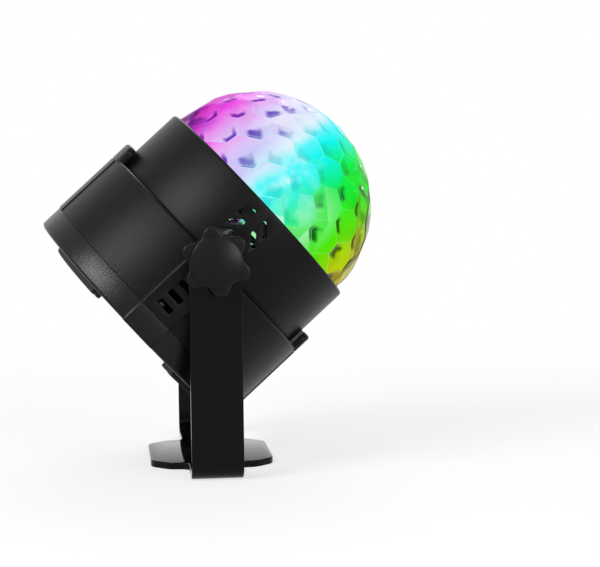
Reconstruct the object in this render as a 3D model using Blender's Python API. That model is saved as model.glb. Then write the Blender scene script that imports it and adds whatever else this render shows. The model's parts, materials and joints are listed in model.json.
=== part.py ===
"""LED disco projector: a faceted clear dome on a stepped round housing, hung in a U bracket.

Metres, +Z up. The origin is the middle of the bracket's underside. The hinge axis runs along Y
at pivot_height, and the near side is -Y. Everything in the head is modelled on the head's own
axis (+Z towards the dome, the hinge axis through its origin) and is then tilted by an empty.
"""

import math

import bmesh
import bpy
from mathutils import Matrix, Vector

# Fits and cuts
mesh_gap = 0.0003
cut_over = 0.001
weld_distance = 0.000001
turn_steps = 48
small_steps = 16
tiny_steps = 10

# Stance of the head
tilt_angle = math.radians(47.9)
swing_clearance = 0.00555

# Housing, seen along its own axis
body_radius = 0.045
shoulder_width = 0.0035
rim_reach = 0.0242
rear_reach = 0.0338
cover_depth = 0.0083
edge_round = 0.0009
round_steps = 3

# Front housing
front_wall = 0.001
lip_wall = 0.0017
lip_depth = 0.002
ledge_width = 0.0043
ledge_thickness = 0.002
flange_width = 0.0008
flange_thickness = 0.0023

# Chevron vents of the front housing
vent_length = 0.0056
vent_width = 0.0016
vent_offset = 0.004
vent_first_reach = 0.00895
vent_pitch = 0.00465
vent_rows = 3
vent_slant = math.radians(45)

# Rear housing
body_wall = 0.0024
shoulder_lip_depth = 0.003
ear_reach = 0.006
ear_half_angle = math.radians(16)
ear_corner = 0.0028
ear_chamfer = 0.0005
ear_steps = 14
pad_half_width = 0.00615
pad_proud = 0.0003
pad_sink = 0.0002
slot_length = 0.005
slot_height = 0.0022
slot_pitch = 0.0045
slot_first_reach = 0.01225
slot_count = 3
boss_radius = 0.0049
boss_sink = 0.001
post_bite = 0.0006
post_radius = 0.004
post_end_reach = 0.006
post_count = 4

# Rear cover
cover_floor = 0.002
spigot_wall = 0.0015
spigot_height = 0.0026
spigot_root = 0.0015
notch_depth = 0.0004
stud_radius = 0.003
stud_inset = 0.011
stud_count = 3

# Rubber feet on the rear cover
foot_width = 0.0072
foot_clearance = 0.0012
foot_height = 0.002
foot_edge = 0.0005
foot_half_angle = math.radians(58)
foot_steps = 14

# Dome
dome_sink = 0.0007
dome_clearance = 0.00095
dome_wall = 0.0024
dome_flange_width = 0.0012
dome_flange_thickness = 0.0016
dome_rows = ((-2, 18), (11.5, 18), (25, 18), (38.5, 18), (52, 14), (65, 10), (78, 5))
dome_turn = math.radians(1.5)
ring_height = 0.003
ring_width = 0.0035

# Lens rotor and its motor
rotor_rise = 0.012
rotor_wall = 0.0018
rotor_clearance = 0.0021
rotor_boss_radius = 0.0035
shaft_radius = 0.00125
shaft_rise = 0.0037
shaft_seat = 0.004
motor_radius = 0.012
motor_length = 0.0145
motor_nose_radius = 0.0045
motor_nose_length = 0.003
motor_flange_thickness = 0.001
motor_ear_gap = 0.003
motor_ear_radius = 0.0035

# Lamp plate, LED board, LEDs and their lenses
plate_clearance = 0.0004
plate_thickness = 0.002
board_margin = 0.0121
board_thickness = 0.0016
board_hole_radius = 0.006
led_ring_share = 0.5926
led_radius = 0.0036
led_height = 0.0012
led_dome_radius = 0.0021
lens_foot_radius = 0.0035
lens_top_radius = 0.0075
lens_height = 0.0082
board_screw_inset = 0.0035

# Control board and what stands on it
control_clearance = 0.0012
control_thickness = 0.0016
inlet_half_width = 0.0035
inlet_length = 0.011
inlet_half_height = 0.0026
inlet_nose_radius = 0.0025
inlet_bore_radius = 0.00175
inlet_pin_radius = 0.0005
inlet_sink = 0.0005
inlet_nose_length = 0.0045
inlet_bore_depth = 0.0075
inlet_lift = 0.0005
inlet_angle = math.radians(112.5)
capacitor_radius = 0.004
capacitor_height = 0.0085
capacitor_inset = 0.0055
microphone_radius = 0.003
microphone_height = 0.0024
microphone_inset = 0.0035
chip_half_size = 0.0045
chip_height = 0.0016
chip_chamfer = 0.0004

# Screws
screw_radius = 0.0012
screw_head_radius = 0.0022
screw_head_height = 0.0013
housing_screw_radius = 0.0015
housing_screw_head_radius = 0.0028
housing_screw_head_height = 0.0018
housing_screw_length = 0.015
housing_screw_sink = 0.0004
hole_clearance = 0.0003

# Bracket
strip_width = 0.0167
bracket_thickness = 0.0023
bend_radius = 0.0065
bend_steps = 6
plate_half_width = 0.0205
plate_half_depth = 0.0237
plate_chamfer = 0.0065
plate_corner = 0.006
plate_fillet = 0.003

# Thumb knobs and their screws
knob_lobe_radius = 0.0112
knob_valley_radius = 0.0085
knob_lobes = 6
knob_phase = math.radians(98.6)
knob_fullness_share = 0.5
knob_outline_steps = 60
knob_grip_height = 0.006
knob_grip_edge = 0.0007
knob_cap_radius = 0.00825
knob_cap_height = 0.0034
knob_cap_rise = 0.0012
knob_pocket_radius = 0.0042
hex_radius = 0.0037
hex_height = 0.0028
stud_thread_radius = 0.002
insert_radius = 0.003
insert_length = 0.0052

# Worked out from the sizes above
front_radius = body_radius - shoulder_width
shoulder_lip_radius = front_radius + mesh_gap
body_inner_radius = body_radius - body_wall
front_inner_radius = front_radius - front_wall
rear_seam_reach = rear_reach - cover_depth
half_gap = mesh_gap / 2
pad_face = body_radius + pad_proud
arm_inner = pad_face + mesh_gap
arm_outer = arm_inner + bracket_thickness
flange_top = -shoulder_lip_depth - mesh_gap
front_bottom = flange_top - flange_thickness
ledge_top = -mesh_gap
ledge_bottom = ledge_top - ledge_thickness
lip_bottom = rim_reach - lip_depth
cover_top = -rear_seam_reach - half_gap
cover_bottom = -rear_reach
cover_inside = cover_bottom + cover_floor
body_bottom = -rear_seam_reach + half_gap
plate_bottom = 0.0
plate_top = plate_bottom + plate_thickness
board_bottom = plate_top + mesh_gap
board_top = board_bottom + board_thickness
lens_top = board_top + led_height + lens_height + 2 * mesh_gap
rotor_rim_reach = lens_top + rotor_clearance
shaft_top_reach = rotor_rim_reach + shaft_rise
boss_end = front_inner_radius - boss_sink
post_ring_radius = body_inner_radius - post_radius + post_bite
foot_outer_radius = post_ring_radius - housing_screw_head_radius - foot_clearance
foot_inner_radius = foot_outer_radius - foot_width
plate_radius = boss_end - plate_clearance
board_radius = plate_radius - board_margin
led_ring_radius = board_radius * led_ring_share
board_screw_ring_radius = board_radius - board_screw_inset
rotor_radius = board_radius
control_radius = post_ring_radius - post_radius - control_clearance
stud_ring_radius = control_radius - stud_inset
capacitor_ring_radius = control_radius - capacitor_inset
microphone_ring_radius = control_radius - microphone_inset
inlet_front = body_radius - inlet_sink
inlet_reach = rear_reach - cover_floor - inlet_half_height - inlet_lift
dome_centre_reach = rim_reach - dome_sink
dome_flat_radius = front_radius - lip_wall - dome_clearance
pivot_height = dome_centre_reach + dome_flat_radius + swing_clearance + bracket_thickness
control_bottom = inlet_half_height + mesh_gap - inlet_reach
control_top = control_bottom + control_thickness
motor_top = plate_bottom - mesh_gap
motor_ear_reach = motor_radius + motor_ear_gap
knob_base = arm_outer + mesh_gap
near_side = -1
far_side = 1


def clear_scene():
    for old in list(bpy.data.objects):
        bpy.data.objects.remove(old, do_unlink=True)


def finish(name, colour, roughness, metallic=0.0, alpha=1.0):
    """A Principled material: one for each kind of surface."""
    material = bpy.data.materials.new(name)
    material.use_nodes = True
    shader = material.node_tree.nodes["Principled BSDF"]
    shader.inputs["Base Color"].default_value = (*colour, 1.0)
    shader.inputs["Roughness"].default_value = roughness
    shader.inputs["Metallic"].default_value = metallic
    shader.inputs["Alpha"].default_value = alpha
    return material


def empty(name, parent=None, location=(0, 0, 0), rotation=(0, 0, 0)):
    holder = bpy.data.objects.new(name, None)
    bpy.context.collection.objects.link(holder)
    holder.parent = parent
    holder.location = location
    holder.rotation_euler = rotation
    return holder


def solid(name, shape, material, parent=None):
    """Makes an object of a bmesh, smooth but for its real edges."""
    mesh = bpy.data.meshes.new(name)
    bmesh.ops.recalc_face_normals(shape, faces=shape.faces)
    shape.to_mesh(mesh)
    shape.free()
    mesh.shade_smooth()
    mesh.set_sharp_from_angle(angle=math.radians(35))
    if material:
        mesh.materials.append(material)
    piece = bpy.data.objects.new(name, mesh)
    bpy.context.collection.objects.link(piece)
    piece.parent = parent
    return piece


def combine(target, name, shape, operation):
    """Cuts a shape from the target, or joins it on, with a live Boolean on a hidden helper."""
    helper = solid(name, shape, None, target.parent)
    helper.hide_render = True
    helper.display_type = "WIRE"
    step = target.modifiers.new(name, "BOOLEAN")
    step.operation = operation
    step.solver = "EXACT"
    step.object = helper


def even_shading(target):
    """Keeps a smooth wall smooth round the holes that were cut in it."""
    step = target.modifiers.new("even_shading", "WEIGHTED_NORMAL")
    step.keep_sharp = True


def cut(target, name, shape):
    combine(target, name, shape, "DIFFERENCE")


def join(target, name, shape):
    combine(target, name, shape, "UNION")


def turned(profile, steps, closed=True):
    """Revolves (radius, height) points about Z. An open profile starts and ends on the axis."""
    shape = bmesh.new()
    points = [shape.verts.new((radius, 0, height)) for radius, height in profile]
    edges = [shape.edges.new(pair) for pair in zip(points, points[1:])]
    if closed:
        edges.append(shape.edges.new((points[-1], points[0])))
    bmesh.ops.spin(
        shape,
        geom=points + edges,
        cent=(0, 0, 0),
        axis=(0, 0, 1),
        dvec=(0, 0, 0),
        angle=math.tau,
        steps=steps,
        use_merge=True,
        use_duplicate=False,
    )
    bmesh.ops.remove_doubles(shape, verts=shape.verts, dist=weld_distance)
    return shape


def prism(outline, bottom, top):
    """Extrudes a flat (x, y) outline along Z."""
    shape = bmesh.new()
    face = shape.faces.new([shape.verts.new((x, y, bottom)) for x, y in outline])
    grown = bmesh.ops.extrude_face_region(shape, geom=[face])
    risen = [part for part in grown["geom"] if isinstance(part, bmesh.types.BMVert)]
    bmesh.ops.translate(shape, verts=risen, vec=(0, 0, top - bottom))
    return shape


def moved(shape, matrix):
    bmesh.ops.transform(shape, matrix=matrix, verts=shape.verts)
    return shape


def gathered(shapes):
    """Puts several separate shapes into one, for a helper that makes many cuts."""
    whole = bmesh.new()
    for shape in shapes:
        carrier = bpy.data.meshes.new("carrier")
        bmesh.ops.recalc_face_normals(shape, faces=shape.faces)
        shape.to_mesh(carrier)
        shape.free()
        whole.from_mesh(carrier)
        bpy.data.meshes.remove(carrier)
    return whole


def arc(centre_x, centre_y, radius, start, end, steps):
    """Points on a circle from one angle to another, both ends included."""
    turn = end - start
    angles = [start + turn * step / steps for step in range(steps + 1)]
    return [(centre_x + radius * math.cos(a), centre_y + radius * math.sin(a)) for a in angles]


def circle(radius, steps):
    return arc(0, 0, radius, 0, math.tau, steps)[:-1]


def capsule(half_straight, radius, steps):
    """A slot's outline, with its length along X."""
    right = arc(half_straight, 0, radius, -math.pi / 2, math.pi / 2, steps)
    left = arc(-half_straight, 0, radius, math.pi / 2, 3 * math.pi / 2, steps)
    return right + left


def rod(radius, bottom, top, steps=small_steps):
    return prism(circle(radius, steps), bottom, top)


def ring_point(radius, angle):
    """A place on a ring, with the angle counted from the near side towards +X."""
    return (radius * math.sin(angle), -radius * math.cos(angle))


def spread(count, first=0.0):
    return [first + math.tau * index / count for index in range(count)]


def at(x, y, z=0.0):
    return Matrix.Translation((x, y, z))


def facing(side):
    """Turns +Z to the near or the far side and leaves X alone."""
    return Matrix.Rotation(-side * math.pi / 2, 4, "X")


def upright(side):
    """Turns an (x, height) outline drawn in X and Y up into X and Z, with +Z out to one side."""
    return Matrix(((1, 0, 0, 0), (0, 0, side, 0), (0, 1, 0, 0), (0, 0, 0, 1)))


def slot_cutter(side, x, reach, length, height, slant, inner, outer):
    outline = capsule((length - height) / 2, height / 2, round_steps)
    shape = moved(prism(outline, inner, outer), Matrix.Rotation(slant, 4, "Z"))
    return moved(shape, upright(side) @ at(x, reach))


def make_front_housing(head, material):
    """The narrow cylinder round the dome: an inward lip at the rim and a flange in the body."""
    flange_radius = front_radius + flange_width
    profile = [
        (front_radius - lip_wall, rim_reach),
        *arc(
            front_radius - edge_round,
            rim_reach - edge_round,
            edge_round,
            math.pi / 2,
            0,
            round_steps,
        ),
        (front_radius, flange_top),
        (flange_radius, flange_top),
        (flange_radius, front_bottom),
        (front_inner_radius, front_bottom),
        (front_inner_radius, ledge_bottom),
        (front_inner_radius - ledge_width, ledge_bottom),
        (front_inner_radius - ledge_width, ledge_top),
        (front_inner_radius, ledge_top),
        (front_inner_radius, lip_bottom),
        (front_radius - lip_wall, lip_bottom),
    ]
    housing = solid("front_housing", turned(profile, turn_steps), material, head)
    boss_room = boss_radius + mesh_gap
    cutters = []
    for side in (near_side, far_side):
        inner = boss_end - mesh_gap
        outer = flange_radius + cut_over
        notch = [
            (-boss_room, front_bottom - cut_over),
            *arc(0, 0, boss_room, math.pi, 0, small_steps // 2),
            (boss_room, front_bottom - cut_over),
        ]
        cutters.append(moved(prism(notch, inner, outer), upright(side)))
        for row in range(vent_rows):
            reach = vent_first_reach + row * vent_pitch
            for hand in (-1, 1):
                x = hand * vent_offset
                vent_inner = front_inner_radius - flange_width - cut_over
                vent = (side, x, reach, vent_length, vent_width, -hand * vent_slant)
                cutters.append(slot_cutter(*vent, vent_inner, outer))
    cut(housing, "front_housing_cuts", gathered(cutters))
    even_shading(housing)


def ear_shape(centre):
    """One raised ear on the shoulder: a bent tab with rounded front corners."""
    shape = bmesh.new()
    columns = []
    half_length = ear_half_angle * body_radius
    for step in range(ear_steps + 1):
        share = math.sin(math.pi / 2 * (2 * step / ear_steps - 1))
        past_corner = max(0.0, abs(share) * half_length - (half_length - ear_corner))
        past_corner = min(past_corner, ear_corner)
        top = ear_reach - ear_corner + math.sqrt(ear_corner**2 - past_corner**2)
        inner = shoulder_lip_radius + pad_sink
        buried = body_radius - edge_round
        section = [
            (inner, -shoulder_lip_depth / 2),
            (buried, -shoulder_lip_depth / 2),
            (buried, -edge_round / 3),
            (body_radius, -edge_round / 3),
            (body_radius, top - ear_chamfer),
            (body_radius - ear_chamfer, top),
            (inner, top),
        ]
        angle = centre + share * ear_half_angle
        columns.append(
            [shape.verts.new((*ring_point(radius, angle), z)) for radius, z in section]
        )
    for column, following in zip(columns, columns[1:]):
        corners = list(zip(column, following))
        for low, high in zip(corners, corners[1:] + corners[:1]):
            shape.faces.new((low[0], high[0], high[1], low[1]))
    shape.faces.new(columns[0])
    shape.faces.new(columns[-1])
    return shape


def make_rear_housing(head, material):
    """The wide sleeve: shoulder lip, four screw posts, two ears and a flat pivot pad each side."""
    profile = [
        (shoulder_lip_radius, 0.0),
        *arc(
            body_radius - edge_round,
            -edge_round,
            edge_round,
            math.pi / 2,
            0,
            round_steps,
        ),
        (body_radius, body_bottom),
        (body_inner_radius, body_bottom),
        (body_inner_radius, -shoulder_lip_depth),
        (shoulder_lip_radius, -shoulder_lip_depth),
    ]
    housing = solid("rear_housing", turned(profile, turn_steps), material, head)
    half_turn = math.pi / 2
    for name, turn in (("left_ear", -half_turn), ("right_ear", half_turn)):
        join(housing, name, ear_shape(turn))
    for name, side in (("near_pad", near_side), ("far_pad", far_side)):
        outline = [
            (-pad_half_width, body_bottom + mesh_gap),
            *arc(0, 0, pad_half_width, math.pi, 0, small_steps // 2),
            (pad_half_width, body_bottom + mesh_gap),
        ]
        flat = moved(prism(outline, body_inner_radius + pad_sink, pad_face), upright(side))
        join(housing, name, flat)
        boss = moved(rod(boss_radius, boss_end, body_radius - pad_sink), facing(side))
        join(housing, name + "_boss", boss)
    posts = []
    for angle in spread(post_count, math.pi / post_count):
        place = at(*ring_point(post_ring_radius, angle))
        posts.append(moved(rod(post_radius, body_bottom, -post_end_reach), place))
    join(housing, "screw_posts", gathered(posts))
    cutters = []
    for angle in spread(post_count, math.pi / post_count):
        place = at(*ring_point(post_ring_radius, angle))
        pilot = housing_screw_radius + hole_clearance
        top = cover_bottom + housing_screw_length + cut_over
        cutters.append(moved(rod(pilot, body_bottom - cut_over, top), place))
    for side in (near_side, far_side):
        for row in range(slot_count):
            reach = -slot_first_reach - row * slot_pitch
            inner = body_inner_radius - cut_over
            slot = (side, 0.0, reach, slot_length, slot_height, 0.0)
            cutters.append(slot_cutter(*slot, inner, pad_face + cut_over))
        bore = rod(insert_radius + mesh_gap, boss_end - cut_over, pad_face + cut_over)
        cutters.append(moved(bore, facing(side)))
    cut(housing, "rear_housing_cuts", gathered(cutters))
    even_shading(housing)


def make_rear_cover(head, material):
    """The shallow cup behind the seam, with a spigot, screw bosses and studs for the board."""
    spigot_outer = body_inner_radius - mesh_gap
    spigot_inner = spigot_outer - spigot_wall
    spigot_top = cover_top + spigot_height
    profile = [
        (0.0, cover_bottom),
        *arc(
            body_radius - edge_round,
            cover_bottom + edge_round,
            edge_round,
            -math.pi / 2,
            0,
            round_steps,
        ),
        (body_radius, cover_top),
        (spigot_outer, cover_top),
        (spigot_outer, spigot_top),
        (spigot_inner, spigot_top),
        (spigot_inner, cover_top - spigot_root),
        (body_inner_radius, cover_top - spigot_root),
        (body_inner_radius, cover_inside),
        (0.0, cover_inside),
    ]
    cover = solid("rear_cover", turned(profile, turn_steps, closed=False), material, head)
    post_room = [
        moved(
            rod(post_radius + mesh_gap, cover_top, spigot_top + cut_over),
            at(*ring_point(post_ring_radius, angle)),
        )
        for angle in spread(post_count, math.pi / post_count)
    ]
    cut(cover, "post_room", gathered(post_room))
    bosses = []
    for angle in spread(post_count, math.pi / post_count):
        place = at(*ring_point(post_ring_radius, angle))
        bosses.append(moved(rod(post_radius, cover_bottom + cover_floor / 2, cover_top), place))
    for angle in spread(stud_count):
        place = at(*ring_point(stud_ring_radius, angle))
        stud_top = control_bottom - mesh_gap
        bosses.append(moved(rod(stud_radius, cover_bottom + cover_floor / 2, stud_top), place))
    join(cover, "bosses", gathered(bosses))
    cutters = []
    for angle in spread(post_count, math.pi / post_count):
        place = at(*ring_point(post_ring_radius, angle))
        shank = housing_screw_radius + hole_clearance
        head_room = housing_screw_head_radius + hole_clearance
        seat = cover_bottom + housing_screw_sink + housing_screw_head_height + mesh_gap
        stepped = [
            (0.0, cover_bottom - cut_over),
            (head_room, cover_bottom - cut_over),
            (head_room, seat),
            (shank, seat),
            (shank, cover_top + cut_over),
            (0.0, cover_top + cut_over),
        ]
        cutters.append(moved(turned(stepped, small_steps, closed=False), place))
    for angle in spread(stud_count):
        place = at(*ring_point(stud_ring_radius, angle))
        pilot = screw_radius + hole_clearance
        cutters.append(moved(rod(pilot, cover_inside, control_bottom + cut_over, tiny_steps), place))
    cut(cover, "cover_holes", gathered(cutters))
    notches = []
    for side in (near_side, far_side):
        outline = [
            (-pad_half_width, cover_bottom - cut_over),
            (pad_half_width, cover_bottom - cut_over),
            (pad_half_width, cover_top + cut_over),
            (-pad_half_width, cover_top + cut_over),
        ]
        floor = body_radius - notch_depth
        notches.append(moved(prism(outline, floor, body_radius + cut_over), upright(side)))
    cut(cover, "cover_notches", gathered(notches))
    room_start = inlet_front - inlet_nose_length
    nose_room = rod(inlet_nose_radius + mesh_gap, room_start, body_radius + cut_over)
    cut(cover, "inlet_opening", moved(nose_room, inlet_place()))
    even_shading(cover)


def make_rear_feet(head, material):
    """Two curved rubber feet under the rear cover, with gaps at the near and far sides."""
    top = cover_bottom - mesh_gap
    bottom = top - foot_height
    section = [
        (foot_inner_radius, top),
        (foot_outer_radius, top),
        (foot_outer_radius, bottom + foot_edge),
        (foot_outer_radius - foot_edge, bottom),
        (foot_inner_radius + foot_edge, bottom),
        (foot_inner_radius, bottom + foot_edge),
    ]
    for name, centre in (("left_rear_foot", -math.pi / 2), ("right_rear_foot", math.pi / 2)):
        shape = bmesh.new()
        columns = []
        for step in range(foot_steps + 1):
            angle = centre + foot_half_angle * (2 * step / foot_steps - 1)
            columns.append([shape.verts.new((*ring_point(radius, angle), z)) for radius, z in section])
        for column, following in zip(columns, columns[1:]):
            corners = list(zip(column, following))
            for low, high in zip(corners, corners[1:] + corners[:1]):
                shape.faces.new((low[0], high[0], high[1], low[1]))
        shape.faces.new(columns[0])
        shape.faces.new(columns[-1])
        solid(name, shape, material, head)


def make_dome(head, material):
    """The clear dome: flat facets in staggered rings round a ball, hollow and open below."""
    flange_top_reach = lip_bottom - mesh_gap
    flange_bottom = flange_top_reach - dome_flange_thickness
    shape = bmesh.new()
    bmesh.ops.create_cube(shape, size=2 * body_radius)
    moved(shape, at(0, 0, flange_bottom + body_radius))
    centre = Vector((0, 0, dome_centre_reach))
    facings = [Vector((0, 0, 1))]
    for row, (rise, count) in enumerate(dome_rows):
        latitude = math.radians(rise)
        for angle in spread(count, dome_turn + math.pi / count * (row % 2)):
            side_x, side_y = ring_point(math.cos(latitude), angle)
            facings.append(Vector((side_x, side_y, math.sin(latitude))))
    for normal in facings:
        bmesh.ops.bisect_plane(
            shape,
            geom=shape.verts[:] + shape.edges[:] + shape.faces[:],
            dist=weld_distance,
            plane_co=centre + normal * dome_flat_radius,
            plane_no=normal,
            clear_outer=True,
        )
        open_edges = [edge for edge in shape.edges if edge.is_boundary]
        bmesh.ops.contextual_create(shape, geom=open_edges)
    dome = solid("dome", shape, material, head)
    dome.data.shade_flat()
    flange_radius = front_inner_radius - mesh_gap
    flange = turned(
        [
            (flange_radius - 2 * dome_flange_width, flange_bottom),
            (flange_radius, flange_bottom),
            (flange_radius, flange_top_reach),
            (flange_radius - 2 * dome_flange_width, flange_top_reach),
        ],
        turn_steps,
    )
    join(dome, "dome_flange", flange)
    cavity_radius = dome_flat_radius - dome_wall
    cavity_steps = turn_steps // 2
    cavity = turned(
        [
            (0.0, flange_bottom - cut_over),
            (cavity_radius, flange_bottom - cut_over),
            *arc(0, dome_centre_reach, cavity_radius, 0, math.pi / 2, 2 * round_steps + 1),
        ],
        cavity_steps,
        closed=False,
    )
    cut(dome, "dome_cavity", cavity)


def make_dome_ring(head, material):
    """The ring that holds the dome's flange up against the front housing's lip."""
    top = lip_bottom - dome_flange_thickness - 2 * mesh_gap
    outer = front_inner_radius - mesh_gap
    profile = [
        (outer - ring_width, top),
        (outer, top),
        (outer, top - ring_height),
        (outer - ring_width, top - ring_height),
    ]
    solid("dome_ring", turned(profile, turn_steps), material, head)


def make_lens_rotor(rotor, lens_material, shaft_material):
    """The inner lens cap that turns on the motor shaft and spreads the LED beams."""
    curve = (rotor_radius**2 + rotor_rise**2) / (2 * rotor_rise)
    opening = math.asin(rotor_radius / curve)
    centre_reach = rotor_rim_reach + rotor_rise - curve
    inner_curve = curve - rotor_wall
    inner_opening = math.asin(rotor_boss_radius / inner_curve)
    bore_radius = shaft_radius + mesh_gap
    bore_top = shaft_top_reach + mesh_gap
    boss_bottom = shaft_top_reach - shaft_seat
    steps = round_steps + 1
    profile = [
        *arc(0, centre_reach, curve, math.pi / 2, math.pi / 2 - opening, steps),
        *arc(
            0,
            centre_reach,
            inner_curve,
            math.pi / 2 - opening,
            math.pi / 2 - inner_opening,
            steps,
        ),
        (rotor_boss_radius, boss_bottom),
        (bore_radius, boss_bottom),
        (bore_radius, bore_top),
        (0.0, bore_top),
    ]
    profile[0] = (0.0, centre_reach + curve)
    solid("lens_rotor", turned(profile, small_steps, closed=False), lens_material, rotor)
    shaft = rod(shaft_radius, motor_top - shaft_seat, shaft_top_reach, tiny_steps)
    solid("rotor_shaft", shaft, shaft_material, rotor)


def make_motor(head, material, screw_material):
    """The small motor under the lamp plate, with a two-ear flange and two screws."""
    bore_radius = shaft_radius + mesh_gap
    nose_top = motor_top + motor_nose_length
    can_bottom = motor_top - motor_length
    profile = [
        (0.0, can_bottom),
        *arc(motor_radius - edge_round, can_bottom + edge_round, edge_round, -math.pi / 2, 0, round_steps),
        (motor_radius, motor_top),
        (motor_nose_radius, motor_top),
        (motor_nose_radius, nose_top),
        (bore_radius, nose_top),
        (bore_radius, motor_top - shaft_seat - mesh_gap),
        (0.0, motor_top - shaft_seat - mesh_gap),
    ]
    motor = solid("motor", turned(profile, small_steps, closed=False), material, head)
    flange = capsule(motor_ear_reach, motor_ear_radius, small_steps // 2)
    join(motor, "motor_flange", prism(flange, motor_top - motor_flange_thickness, motor_top))
    cutters = [rod(bore_radius, motor_top - shaft_seat - mesh_gap, nose_top + cut_over, tiny_steps)]
    for side in (-1, 1):
        hole = rod(screw_radius + hole_clearance, motor_top - motor_length, motor_top + cut_over, tiny_steps)
        cutters.append(moved(hole, at(side * motor_ear_reach, 0)))
    cut(motor, "motor_holes", gathered(cutters))
    for name, side in (("motor_screw_left", -1), ("motor_screw_right", 1)):
        seat = motor_top - motor_flange_thickness - mesh_gap
        shape = screw_shape(screw_radius, screw_head_radius, screw_head_height, plate_top - seat)
        flipped = at(side * motor_ear_reach, 0, seat) @ Matrix.Rotation(math.pi, 4, "X")
        solid(name, moved(shape, flipped), screw_material, head)


def screw_shape(radius, head_radius, head_height, length):
    """A pan-head screw: the head stands on the zero plane and the shank hangs below it."""
    dimple = radius / 2
    profile = [
        (0.0, -length),
        (radius / 2, -length),
        (radius, -length + radius),
        (radius, 0.0),
        (head_radius, 0.0),
        (head_radius, head_height / 2),
        (head_radius - head_height / 2, head_height),
        (dimple, head_height),
        (0.0, head_height - dimple),
    ]
    return turned(profile, tiny_steps, closed=False)


def make_lamp_plate(head, plate_material, board_material, screw_material):
    """The aluminium plate on the front housing's ledge and the LED board screwed to it."""
    plate = solid("lamp_plate", rod(plate_radius, plate_bottom, plate_top, turn_steps), plate_material, head)
    board_blank = rod(board_radius, board_bottom, board_top, 2 * small_steps)
    board = solid("led_board", board_blank, board_material, head)
    hole_radius = screw_radius + hole_clearance
    bottom = plate_bottom - cut_over
    top = board_top + cut_over
    plate_holes = [rod(motor_nose_radius + mesh_gap, bottom, top)]
    for side in (-1, 1):
        place = at(side * motor_ear_reach, 0)
        plate_holes.append(moved(rod(hole_radius, bottom, top, tiny_steps), place))
    board_holes = [rod(board_hole_radius, bottom, top)]
    for index, angle in enumerate(spread(3, math.pi / 3)):
        place = at(*ring_point(board_screw_ring_radius, angle))
        plate_holes.append(moved(rod(hole_radius, bottom, top, tiny_steps), place))
        board_holes.append(moved(rod(hole_radius, bottom, top, tiny_steps), place))
        length = board_top + mesh_gap - plate_bottom
        shape = screw_shape(screw_radius, screw_head_radius, screw_head_height, length)
        lifted = place @ at(0, 0, board_top + mesh_gap)
        solid(f"board_screw_{index + 1}", moved(shape, lifted), screw_material, head)
    cut(plate, "plate_holes", gathered(plate_holes))
    cut(board, "board_holes", gathered(board_holes))


def make_leds(head, led_materials, lens_material):
    """Red, green and blue LEDs, each under its own collimating lens."""
    base = board_top + mesh_gap
    led_top = base + led_height
    lens_base = led_top + mesh_gap
    pocket_radius = led_dome_radius + 2 * mesh_gap
    pocket_top = led_top + led_dome_radius + mesh_gap
    for (colour, material), angle in zip(led_materials.items(), spread(len(led_materials))):
        place = at(*ring_point(led_ring_radius, angle))
        profile = [
            (0.0, base),
            (led_radius, base),
            (led_radius, led_top),
            *arc(0, led_top, led_dome_radius, 0, math.pi / 2, round_steps),
        ]
        profile[-1] = (0.0, led_top + led_dome_radius)
        led = moved(turned(profile, tiny_steps, closed=False), place)
        solid(colour + "_led", led, material, head)
        lens_profile = [
            (0.0, pocket_top),
            (pocket_radius, pocket_top),
            (pocket_radius, lens_base),
            (lens_foot_radius, lens_base),
            (lens_top_radius, lens_base + lens_height - mesh_gap),
            (lens_top_radius, lens_base + lens_height),
            (0.0, lens_base + lens_height),
        ]
        lens = moved(turned(lens_profile, small_steps, closed=False), place)
        solid(colour + "_lens", lens, lens_material, head)


def make_control_board(head, materials):
    """The control board on the rear cover's studs, with its parts above and its inlet below."""
    board = rod(control_radius, control_bottom, control_top, 2 * small_steps)
    board = solid("control_board", board, materials["board"], head)
    holes = []
    hole_radius = screw_radius + hole_clearance
    for index, angle in enumerate(spread(stud_count)):
        place = at(*ring_point(stud_ring_radius, angle))
        hole = rod(hole_radius, control_bottom - cut_over, control_top + cut_over, tiny_steps)
        holes.append(moved(hole, place))
        length = control_top + mesh_gap - cover_inside - mesh_gap
        shape = screw_shape(screw_radius, screw_head_radius, screw_head_height, length)
        lifted = place @ at(0, 0, control_top + mesh_gap)
        solid(f"control_screw_{index + 1}", moved(shape, lifted), materials["steel"], head)
    cut(board, "control_holes", gathered(holes))
    stand = control_top + mesh_gap
    for name, angle in (("left_capacitor", -math.pi / 3), ("right_capacitor", math.pi / 3)):
        top = stand + capacitor_height
        profile = [
            (0.0, stand),
            (capacitor_radius, stand),
            *arc(capacitor_radius - edge_round, top - edge_round, edge_round, 0, math.pi / 2, round_steps),
            (0.0, top),
        ]
        can = moved(turned(profile, small_steps, closed=False), at(*ring_point(capacitor_ring_radius, angle)))
        solid(name, can, materials["capacitor"], head)
    top = stand + microphone_height
    profile = [
        (0.0, stand),
        (microphone_radius, stand),
        (microphone_radius, top),
        (microphone_radius / 2, top),
        (microphone_radius / 2, top - microphone_height / 4),
        (0.0, top - microphone_height / 4),
    ]
    capsule_place = at(*ring_point(microphone_ring_radius, 0))
    microphone = moved(turned(profile, small_steps, closed=False), capsule_place)
    solid("microphone", microphone, materials["steel"], head)
    chip = bmesh.new()
    bmesh.ops.create_cube(chip, size=1)
    moved(chip, Matrix.Diagonal((2 * chip_half_size, 2 * chip_half_size, chip_height, 1)))
    moved(chip, at(0, 0, stand + chip_height / 2))
    upper = [edge for edge in chip.edges if min(vert.co.z for vert in edge.verts) > stand + chip_height / 2]
    bmesh.ops.bevel(chip, geom=upper, offset=chip_chamfer, segments=1, profile=0.5, affect="EDGES")
    solid("control_chip", chip, materials["chip"], head)
    make_power_inlet(head, materials["inlet"])


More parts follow.
